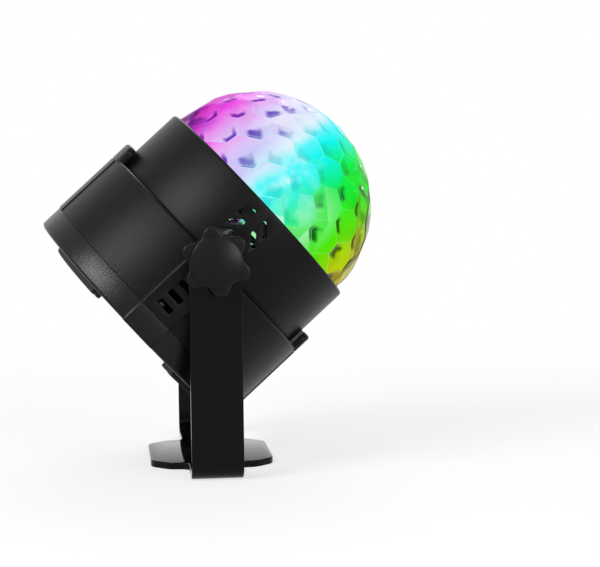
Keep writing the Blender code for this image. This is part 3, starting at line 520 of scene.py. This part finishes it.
def frontHousing(s):
    outline = softened(
        (
            (s["mouth"], s["rim"], 0.25),
            (s["radius"], s["rim"], s["rimRounding"]),
            (s["radius"], s["foot"], 0),
            (s["bore"], s["foot"], 0),
            (s["bore"], s["rim"] - s["lip"], 0),
            (s["mouth"], s["rim"] - s["lip"], 0),
        ),
        spacing=1.6,
    )
    piece = asObject("front_shell", ringOf(outline))
    cutters = []
    for side in (-1, 1):
        for reach in s["ventRows"]:
            for way in (-1, 1):
                slot = slabOf(capsule(s["ventLength"], s["ventWidth"]), s["bore"] - 4, s["radius"] + 3)
                turn = Matrix.Rotation(math.radians(-way * s["ventSlant"]), 4, "Z")
                shift = Matrix.Translation((way * s["ventOffset"] * mm, reach * mm, 0))
                cutters.append(placed(slot, turn, shift, sideways(side)))
        notch = arcPoints((0, 0), s["bossRoom"], 180, 0, 16)
        notch = [(-s["bossRoom"], s["foot"] - 1), *notch, (s["bossRoom"], s["foot"] - 1)]
        cutters.append(placed(slabOf(notch, s["bore"] - 2, s["radius"] + 3), sideways(side)))
    carve(piece, cutters)
    softenEdges(piece, 0.14)
    return piece


frontShell = hand(
    frontHousing(frontSizes), housingBlack, "head", ("front_housing",), place=headPlace
)
print("front housing done")


# rear housing
rearSizes = {
    "radius": 45.0,
    "bore": 42.6,
    "lipBore": 41.8,
    "lip": 3.0,
    "seam": -25.47,
    "edge": 0.9,
    "seamEdge": 0.1,
    "earReach": 6.0,
    "earHalfAngle": 16,
    "stripHalfAngle": 12,
    "earCorner": 2.8,
    "earSoftness": 0.9,
    "earProud": 0.3,
    "slotRows": (-12.25, -16.75, -21.25),
    "slotLength": 5.65,
    "slotWidth": 2.1,
    "slotCorner": 0.45,
}
# the flat pad on each side, which runs on over the rear cover
padSizes = {"halfWidth": 6.55, "face": 45.3, "foot": 42.8, "slope": 0.5, "drop": 0.4}


def sidePad(s, side, low, top):
    # from low up to a straight end at top or, where top is None, to a round end about the pivot
    half = s["halfWidth"]
    if top is None:
        outline = [(-half, low), *arcPoints((0, 0), half, 180, 0, 24), (half, low)]
    else:
        outline = [(-half, low), (-half, top), (half, top), (half, low)]
    pad = slabOf(outline, s["foot"], s["face"] - s["drop"])
    face = max(pad.faces, key=lambda face: face.calc_center_median().z)
    raised = bmesh.ops.extrude_face_region(pad, geom=[face])
    bmesh.ops.delete(pad, geom=[face], context="FACES_ONLY")
    share = (half - s["slope"]) / half
    for part in raised["geom"]:
        if isinstance(part, bmesh.types.BMVert):
            drawnIn = share if part.co.y > 0 else 1
            part.co = Vector((part.co.x * share, part.co.y * drawnIn, s["face"] * mm))
    return placed(pad, sideways(side))


def bentPlate(s, halfAngle, low, top, corner, middle):
    # a plate with rounded front corners, bent round the housing
    half = math.radians(halfAngle) * s["radius"]
    face = s["radius"] + s["earProud"]
    corners = ((-half, low, 0), (half, low, 0), (half, top, corner), (-half, top, corner))
    plate = slabOf(softened(corners, 8, 1.2), s["bore"] + 0.2, face)
    if corner:
        outer = [edge for edge in plate.edges if min(vert.co.z for vert in edge.verts) > (face - 0.1) * mm]
        bmesh.ops.bevel(
            plate, geom=outer, offset=s["earSoftness"] * mm, segments=4, profile=0.5, affect="EDGES", material=-1
        )
    for step in range(-8, 9):
        cut = Vector((step * half / 8.5 * mm, 0, 0))
        everything = plate.verts[:] + plate.edges[:] + plate.faces[:]
        bmesh.ops.bisect_plane(plate, geom=everything, dist=mm / 1000, plane_co=cut, plane_no=(1, 0, 0))
    for vert in plate.verts:
        angle = vert.co.x / (s["radius"] * mm) + math.radians(middle)
        vert.co = Vector((vert.co.z * math.sin(angle), -vert.co.z * math.cos(angle), vert.co.y))
    return plate


def rearHousing(s):
    outline = softened(
        (
            (s["lipBore"], 0, 0.2),
            (s["radius"], 0, s["edge"]),
            (s["radius"], s["seam"], s["seamEdge"]),
            (s["bore"], s["seam"], 0),
            (s["bore"], -s["lip"], 0),
            (s["lipBore"], -s["lip"], 0),
        ),
        spacing=2.0,
    )
    piece = asObject("rear_shell", ringOf(outline))
    added = []
    for side in (-1, 1):
        # an ear in front of the housing, and the raised strip that runs back from it
        added.append(bentPlate(s, s["earHalfAngle"], -1.5, s["earReach"], s["earCorner"], side * 90))
        added.append(bentPlate(s, s["stripHalfAngle"], s["seam"] + 0.02, -1.3, 0, side * 90))
        added.append(sidePad(padSizes, side, s["seam"] + 0.01, None))
        boss = arcPoints((0, 0), 4.9, 0, 360, 40)[:-1]
        added.append(placed(slabOf(boss, 39.5, 44), sideways(side)))
    carve(piece, added, "UNION")
    cutters = []
    for side in (-1, 1):
        for reach in s["slotRows"]:
            half, wide, corner = s["slotLength"] / 2, s["slotWidth"] / 2, s["slotCorner"]
            corners = ((-half, -wide, corner), (half, -wide, corner), (half, wide, corner), (-half, wide, corner))
            slot = slabOf(softened(corners), s["bore"] - 2, padSizes["face"] + 1)
            cutters.append(placed(slot, Matrix.Translation((0, reach * mm, 0)), sideways(side)))
        bore = arcPoints((0, 0), 3.3, 0, 360, 32)[:-1]
        cutters.append(placed(slabOf(bore, 38, 47), sideways(side)))
    carve(piece, cutters)
    softenEdges(piece, 0.2, 3)
    return piece


rearShell = hand(rearHousing(rearSizes), housingBlack, "head", ("rear_housing",), place=headPlace)
print("rear housing done")


# rear cover and feet
coverSizes = {
    "radius": 45.0,
    "bore": 42.6,
    "back": -33.8,
    "floor": -31.8,
    "seam": -25.53,
    "edge": 1.1,
    "seamEdge": 0.1,
    "screwRing": 39.2,
    "screwRoom": 3.1,
    "screwSeat": -31.3,
    "shank": 1.8,
    "inletAngle": 112.5,
    "inletReach": -28.7,
    "inletRoom": 2.8,
}


def rearCover(s):
    outline = softened(
        (
            (s["radius"], s["back"], s["edge"]),
            (s["radius"], s["seam"], s["seamEdge"]),
            (s["bore"], s["seam"], 0),
            (s["bore"], s["floor"], 0),
            (0, s["floor"], 0),
            (0, s["back"], 0),
        ),
        spacing=2.2,
    )
    onAxis = [index for index, spot in enumerate(outline) if abs(spot.x) < 1e-6]
    opened = outline[onAxis[-1] :] + outline[: onAxis[0] + 1]
    piece = asObject("rear_cap", ringOf(opened, closed=False))
    carve(piece, [sidePad(padSizes, side, s["back"] + 0.01, s["seam"] - 0.01) for side in (-1, 1)], "UNION")
    cutters = []
    for index in range(4):
        turn = around(45 + 90 * index) @ Matrix.Translation((s["screwRing"] * mm, 0, 0))
        room = ringOf(
            [(0, s["back"] - 1), (s["screwRoom"], s["back"] - 1), (s["screwRoom"], s["screwSeat"]), (0, s["screwSeat"])],
            32,
            closed=False,
        )
        cutters.append(placed(room, turn))
    nose = slabOf(arcPoints((0, 0), s["inletRoom"], 0, 360, 32)[:-1], 40, 47)
    lift = Matrix.Translation((0, s["inletReach"] * mm, 0))
    cutters.append(placed(nose, lift, sideways(-1), Matrix.Rotation(math.radians(s["inletAngle"]), 4, "Z")))
    carve(piece, cutters)
    softenEdges(piece, 0.18, 3)
    return piece


rearCap = hand(rearCover(coverSizes), coverBlack, "head", ("rear_cover",), place=headPlace)
print("rear cover done")

footSizes = {"inner": 28.0, "outer": 35.2, "height": 2.0, "top": -34.1, "halfAngle": 58, "edge": 0.6}


def rearFoot(s, name, middle):
    # one curved rubber strip: its section swept round, with closed and rounded ends
    base = s["top"] - s["height"]
    groove = (s["inner"] + s["outer"]) / 2
    section = softened(
        (
            (s["inner"], s["top"], 0),
            (s["outer"], s["top"], 0),
            (s["outer"], base, s["edge"]),
            (groove + 1.1, base, 0.2),
            (groove + 1.1, base + 0.5, 0.2),
            (groove - 1.1, base + 0.5, 0.2),
            (groove - 1.1, base, 0.2),
            (s["inner"], base, s["edge"]),
        ),
        4,
    )
    shape = bmesh.new()
    spots = [shape.verts.new((spot.x * mm, 0, spot.y * mm)) for spot in section]
    face = shape.faces.new(spots)
    start = around(middle - s["halfAngle"])
    bmesh.ops.transform(shape, matrix=start, verts=shape.verts)
    turn = math.radians(2 * s["halfAngle"])
    bmesh.ops.spin(shape, geom=[face], cent=(0, 0, 0), axis=(0, 0, 1), angle=turn, steps=48)
    return softenEdges(asObject(name, shape), 0.3, 3)


for name, middle in (("left_rear_foot", -90), ("right_rear_foot", 90)):
    strip = rearFoot(footSizes, name.replace("rear_foot", "rubber_strip"), middle)
    hand(strip, rubber, "head", (name,), place=headPlace)
print("feet done")


# dome
domeSizes = {
    "centre": 23.5,
    "flat": 38.85,
    "round": 39.2,
    "relief": 0.45,
    "wall": 3.5,
    "base": 20.4,
    # elevation, number of lenses and first angle of each row
    "rows": (
        (-2, 18, 1.5),
        (11.5, 18, 11.5),
        (25, 18, 1.5),
        (38.5, 18, 11.5),
        (52, 14, 1.5),
        (65, 10, 19.5),
        (78, 5, 1.5),
    ),
    "dish": 0.5,
    "ridge": 0.45,
    "skin": 38.0,
    "skinWall": 0.1,
}


def lensAxes(s):
    axes = []
    for rise, count, first in s["rows"]:
        for index in range(count):
            angle, lift = math.radians(first + 360 * index / count), math.radians(rise)
            axes.append(Vector((math.sin(angle) * math.cos(lift), -math.cos(angle) * math.cos(lift), math.sin(lift))))
    return axes


def facetedBall(s, flat, base):
    # cuts a ball out of a block, one flat facet at a time
    shape = bmesh.new()
    bmesh.ops.create_cube(shape, size=90 * mm)
    bmesh.ops.translate(shape, verts=shape.verts, vec=(0, 0, (base + 45) * mm))
    middle = Vector((0, 0, s["centre"] * mm))
    for axis in lensAxes(s):
        everything = shape.verts[:] + shape.edges[:] + shape.faces[:]
        spot = middle + axis * flat * mm
        bmesh.ops.bisect_plane(
            shape, geom=everything, dist=mm / 10000, plane_co=spot, plane_no=axis, clear_outer=True
        )
        bmesh.ops.contextual_create(shape, geom=[edge for edge in shape.edges if edge.is_boundary])
    return shape


def domeShell(s):
    shape = facetedBall(s, s["flat"], s["base"])
    facets = [face for face in shape.faces if face.normal.z > -0.5]
    bottoms = [face for face in shape.faces if face.normal.z <= -0.5]
    # each facet: a narrow ridge all round, then a shallow dish
    bmesh.ops.inset_individual(shape, faces=facets, thickness=s["ridge"] * mm, depth=0)
    for share in (0.5, 0.3, 0.15):
        bmesh.ops.inset_individual(shape, faces=facets, thickness=1.25 * mm, depth=-s["dish"] * share * mm)
    bmesh.ops.poke(shape, faces=facets)
    bmesh.ops.delete(shape, geom=bottoms, context="FACES_ONLY")
    # drawn most of the way to a ball, as the moulding's outside is nearly smooth
    middle = Vector((0, 0, s["centre"] * mm))
    for vert in shape.verts:
        spoke = vert.co - middle
        if not vert.is_boundary:
            radius = s["round"] * mm + s["relief"] * (spoke.length - s["round"] * mm)
            vert.co = middle + spoke.normalized() * radius
    outer = asObject("dome_shell", shape)
    # the smooth inner wall, joined to the outer at the open bottom
    inside = s["flat"] - s["wall"]
    hollow = [(0, s["base"] - 1), (inside, s["base"] - 1)]
    hollow += arcPoints((0, s["centre"]), inside, 0, 90, 24)
    hollow[-1] = (0, s["centre"] + inside)
    close = bmesh.new()
    close.from_mesh(outer.data)
    bmesh.ops.contextual_create(close, geom=[edge for edge in close.edges if edge.is_boundary])
    close.to_mesh(outer.data)
    close.free()
    carve(outer, [ringOf(hollow, 96, closed=False)])
    return outer


dome = hand(domeShell(domeSizes), domeClear, "head", ("dome",), smooth=12, place=headPlace)


def glowSkin(s):
    # a thin luminous skin within the wall: its paint is placed lens by lens
    shape = facetedBall(s, s["skin"], s["base"] + 0.5)
    bottoms = [face for face in shape.faces if face.normal.z <= -0.5]
    bmesh.ops.delete(shape, geom=bottoms, context="FACES_ONLY")
    facets = shape.faces[:]
    for width in (0.45, 0.45, 1.0, 1.0, 1.0):
        bmesh.ops.inset_individual(shape, faces=facets, thickness=width * mm, depth=0)
    bmesh.ops.poke(shape, faces=facets)
    paint = shape.loops.layers.float_color.new("lens")
    axes = lensAxes(s)
    luck = random.Random(5)
    chances = [luck.random() for axis in axes]
    middle = Vector((0, 0, s["centre"] * mm))
    for face in shape.faces:
        out = (face.calc_center_median() - middle).normalized()
        own = max(range(len(axes)), key=lambda index: axes[index].dot(out))
        axis = axes[own]
        near = [other for other in axes if 0.01 < axis.angle(other) < 0.7]
        nearer = Vector((0, math.copysign(1, axis.y), 0))  # to whichever side of the head is closer
        toward = (nearer - axis * axis.dot(nearer)).normalized()
        for corner in face.loops:
            spoke = (corner.vert.co - middle).normalized()
            inset = min((axis - other).normalized().dot(spoke) for other in near) * s["skin"]
            lean = spoke.dot(toward) * s["skin"] / 6
            cross = spoke.dot(toward.cross(axis)) * s["skin"] / 6
            corner[paint] = (max(0, inset) / 5, 0.5 + 0.5 * lean, chances[own], 0.5 + 0.5 * cross)
    skin = asObject("dome_glow", shape)
    step = skin.modifiers.new("wall", "SOLIDIFY")
    step.thickness = s["skinWall"] * mm
    step.offset = -1
    step.material_offset = 1
    step.material_offset_rim = 1
    return settle(skin)


domeGlow = hand(
    glowSkin(domeSizes), glowFinish, "head", place=headPlace, inner=innerGlowFinish
)
print("dome done")


# bracket
bracketSizes = {
    "armInner": 45.6,
    "thickness": 2.3,
    "bend": 6.5,
    "stripWidth": 16.7,
    "plateHalfWidth": 20.5,
    "plateHalfDepth": 23.7,
    "chamfer": 6.5,
    "corner": 6.0,
    "fillet": 3.0,
    "bore": 2.3,
    "edge": 0.25,
}


def bracketShape(s):
    # cut flat, as its blank would be, then bent up at both ends
    armOuter = s["armInner"] + s["thickness"]
    bendStart = armOuter - s["bend"]
    bendLength = s["bend"] * math.pi / 2
    reach = bendStart + bendLength + pivot.z / mm - s["bend"]
    half = s["stripWidth"] / 2
    wide, paintedShadeColour, cut = s["plateHalfWidth"], s["plateHalfDepth"], s["chamfer"]
    quarter = [
        (wide, 0, 0),
        (wide, paintedShadeColour - cut, s["corner"]),
        (wide - cut, paintedShadeColour, s["corner"]),
        (half, paintedShadeColour, s["fillet"]),
    ]
    side = softened(quarter + [(half, reach, 0), (0, reach, 0), (0, 0, 0)], 8, 2.0)
    side = [spot for spot in side if spot.x > 0.001 and 0.001 < spot.y < reach - 0.001]
    tip = [Vector(spot) for spot in arcPoints((0, reach), half, 0, 180, 32)]
    upper = [Vector((wide, 0))] + side + tip + [Vector((-spot.x, spot.y)) for spot in reversed(side)]
    outline = upper + [Vector((-spot.x, -spot.y)) for spot in upper]
    blank = asObject("bracket_strip", slabOf(outline, 0, s["thickness"]))
    tools = []
    for edge in (-1, 1):
        hole = slabOf(arcPoints((0, edge * reach), s["bore"], 0, 360, 32)[:-1], -1, s["thickness"] + 1)
        tools.append(hole)
    carve(blank, tools)
    softenEdges(blank, s["edge"], 4, 50)
    shape = bmesh.new()
    shape.from_mesh(blank.data)
    for edge in (-1, 1):
        for step in range(25):
            cut = edge * (bendStart + bendLength * step / 24) * mm
            everything = shape.verts[:] + shape.edges[:] + shape.faces[:]
            bmesh.ops.bisect_plane(shape, geom=everything, dist=mm / 1000, plane_co=(0, cut, 0), plane_no=(0, 1, 0))
    shape.to_mesh(blank.data)
    shape.free()
    for vert in blank.data.vertices:
        x, y, rise = vert.co / mm
        edge = math.copysign(1, y)
        past = abs(y) - bendStart
        if past <= 0:
            continue
        if past <= bendLength:
            angle = past / s["bend"]
            arm = s["bend"] - rise
            y, rise = bendStart + arm * math.sin(angle), s["bend"] - arm * math.cos(angle)
        else:
            y, rise = armOuter - rise, s["bend"] + past - bendLength
        vert.co = Vector((x, edge * y, rise)) * mm
    return blank


bracketStrip = hand(bracketShape(bracketSizes), bracketBlack, "bracket", ("bracket",), smooth=40)
print("bracket done")


# thumb knobs
knobSizes = {
    "base": 48.2,
    "grip": 6.0,
    "tip": 11.2,
    "valley": 8.5,
    "lobes": 6,
    "phase": 98.6,
    "fullness": 0.5,
    "capRadius": 8.25,
    "capSide": 1.12,
    "capRise": 1.2,
}


def knobGrip(s, name):
    outline = []
    middle, swing = (s["tip"] + s["valley"]) / 2, (s["tip"] - s["valley"]) / 2
    for step in range(180):
        angle = math.tau * step / 180
        wave = math.cos(s["lobes"] * (angle - math.radians(s["phase"])))
        wave += s["fullness"] * (math.sin(math.pi / 2 * wave) - wave)
        radius = middle + swing * wave
        outline.append((radius * math.cos(angle), radius * math.sin(angle)))
    grip = asObject(name, slabOf(outline, s["base"], s["base"] + s["grip"]))
    return softenEdges(grip, 0.7, 5, 60)


def knobCap(s, name):
    foot = s["base"] + s["grip"] - 1.5
    top = s["base"] + s["grip"] + 0.3 + s["capSide"]
    rise, radius = s["capRise"], s["capRadius"]
    curve = (radius**2 + rise**2) / (2 * rise)
    opening = math.degrees(math.asin((radius - 0.5) / curve))
    crown = arcPoints((0, top + rise - curve), curve, 90 - opening, 90, 16)
    crown[-1] = (0, top + rise)
    edge = crown[0][1]
    corner = arcPoints((radius - 0.55, edge - 0.55), 0.55, 0, 80, 5)
    outline = [(0, foot), (4.0, foot), (4.0, foot + 1.8), (radius - 0.3, foot + 1.8), (radius, foot + 2.1)]
    return asObject(name, ringOf(outline + corner + crown, 96, closed=False))


for prefix, side in (("near", -1), ("far", 1)):
    facing = Matrix.Translation(pivot) @ sideways(side)
    grip = knobGrip(knobSizes, prefix + "_grip")
    hand(grip, knobBlack, prefix + "_knob", (prefix + "_knob",), place=facing)
    cap = knobCap(knobSizes, prefix + "_cap")
    hand(cap, knobBlack, prefix + "_knob", (prefix + "_knob_cap",), place=facing)
print("knobs done")

# CAD nodes that stay
slotFinish = {
    "black_plastic": housingBlack,
    "clear_plastic": domeClear,
    "steel": plainSteel,
    "brass": knurledBrass,
    "aluminium": sheetAluminium,
    "white_board": whiteBoard,
    "green_board": greenBoard,
    "inlet_plastic": inletBlack,
    "capacitor_sleeve": sleeveBlue,
    "chip_resin": chipBlack,
}


def ledFinish(name, colour):
    finish = Finish(name, Base_Color=colour, Coat_Weight=0.6, Emission_Strength=0.2)
    cloud = finish.noise(900, 3.0)
    finish.set(Roughness=0.16 + 0.12 * cloud)
    finish.set(Emission_Color=finish.mix(cloud * 0.4, colour, (1, 1, 1)))
    return finish


for colour, tint in (("red", (0.95, 0.04, 0.02)), ("green", (0.02, 0.9, 0.08)), ("blue", (0.02, 0.12, 1.0))):
    slotFinish[colour + "_led"] = ledFinish(colour + "_led_light", tint)

slots = {part["node"]: part["material_slot"] for part in frame["record"]["subparts"]}
for nodeName, node in frame["nodes"].items():
    if node.hide_render:
        continue
    finish = slotFinish[slots[nodeName]]
    if not node.material_slots:
        node.data.materials.append(finish.material)
    for holder in node.material_slots:
        holder.material = finish.material
print("carried-over nodes finished")

# stage, light and camera
stage = {
    "camera": (-35.06, -604.52, 103.05),
    "forward": (0.11012, 0.99131, -0.07202),
    "up": (0.01969, 0.07027, 0.99733),
    "lens": 106.36,
    "floorSize": 4000,
    "keyFrom": (-0.6577, -0.5447, 0.5208),
    "fillFrom": (0.53, -0.82, 0.2),
    "rimFrom": (0.2, 0.71, 0.67),
}


def softLamp(name, direction, distance, size, power, along=None):
    # a soft box aimed at the pivot, with its long side along the given direction
    lamp = bpy.data.lights.new(name, "AREA")
    lamp.shape = "RECTANGLE"
    lamp.size, lamp.size_y = size
    lamp.energy = power
    holder = bpy.data.objects.new(name, lamp)
    bpy.context.scene.collection.objects.link(holder)
    out = Vector(direction).normalized()
    wide = (Vector(along or (0, 0, 1)).cross(out)).normalized()
    tall = out.cross(wide)
    holder.matrix_world = Matrix.Translation(pivot + out * distance) @ Matrix((wide, tall, out)).transposed().to_4x4()
    return holder


softLamp("key_light", stage["keyFrom"], 0.9, (0.5, 0.14), 6.5, along=headLean)
softLamp("fill_light", stage["fillFrom"], 1.0, (0.35, 0.35), 4.5)
softLamp("rim_light", stage["rimFrom"], 1.0, (0.6, 0.6), 3.2)

floorShape = bmesh.new()
bmesh.ops.create_grid(floorShape, x_segments=8, y_segments=8, size=stage["floorSize"] * mm / 2)
floor = asObject("floor", floorShape)
floorFinish = Finish("floor_pale", Base_Color=(0.86, 0.86, 0.86), Roughness=0.7)
paper = floorFinish.noise(30, 2.0)
floorFinish.set(Roughness=0.65 + 0.1 * paper)
tree = floorFinish.tree
watched = floorFinish.node("ShaderNodeLightPath", output="Is Camera Ray")
mirrored = floorFinish.node("ShaderNodeLightPath", output="Is Glossy Ray")
seen = floorFinish.maths("MAXIMUM", watched, mirrored)
white = floorFinish.node("ShaderNodeEmission", Color=(1, 1, 1), Strength=1.0)
shader = Field(floorFinish, floorFinish.shader.outputs[0])
away = floorFinish.node("ShaderNodeVectorMath", {"operation": "LENGTH"}, output="Value", i0=floorFinish.where())
far = floorFinish.spread(away, 0.1, 0.45)
blend = floorFinish.node("ShaderNodeMixShader", i0=seen * (0.65 + 0.35 * far), i1=shader, i2=white)
tree.links.new(blend.socket, tree.nodes["Material Output"].inputs["Surface"])
floor.data.materials.append(floorFinish.material)

world = bpy.data.worlds.new("studio")
bpy.context.scene.world = world
world.use_nodes = True
air = world.node_tree
lightPath = air.nodes.new("ShaderNodeLightPath")
largest = air.nodes.new("ShaderNodeMath")
largest.operation = "MAXIMUM"
either = air.nodes.new("ShaderNodeMath")
either.operation = "MAXIMUM"
air.links.new(lightPath.outputs["Is Camera Ray"], largest.inputs[0])
air.links.new(lightPath.outputs["Is Glossy Ray"], largest.inputs[1])
air.links.new(largest.outputs[0], either.inputs[0])
air.links.new(lightPath.outputs["Is Transmission Ray"], either.inputs[1])
level = air.nodes.new("ShaderNodeMapRange")
level.inputs["To Min"].default_value = 0.4
level.inputs["To Max"].default_value = 1.0
air.links.new(either.outputs[0], level.inputs["Value"])
backdrop = air.nodes["Background"]
backdrop.inputs["Color"].default_value = (1, 1, 1, 1)
air.links.new(level.outputs[0], backdrop.inputs["Strength"])

camera = bpy.data.objects.new("camera", bpy.data.cameras.new("camera"))
bpy.context.scene.collection.objects.link(camera)
forward = Vector(stage["forward"]).normalized()
upward = Vector(stage["up"])
right = forward.cross(upward).normalized()
upward = right.cross(forward)
turn = Matrix((right, upward, -forward)).transposed()
camera.matrix_world = Matrix.Translation(Vector(stage["camera"]) * mm) @ turn.to_4x4()
camera.data.lens = stage["lens"]
camera.data.sensor_width = 36
camera.data.clip_start = 0.02
bpy.context.scene.camera = camera
bpy.context.scene.view_settings.view_transform = "Standard"
print("stage ready")
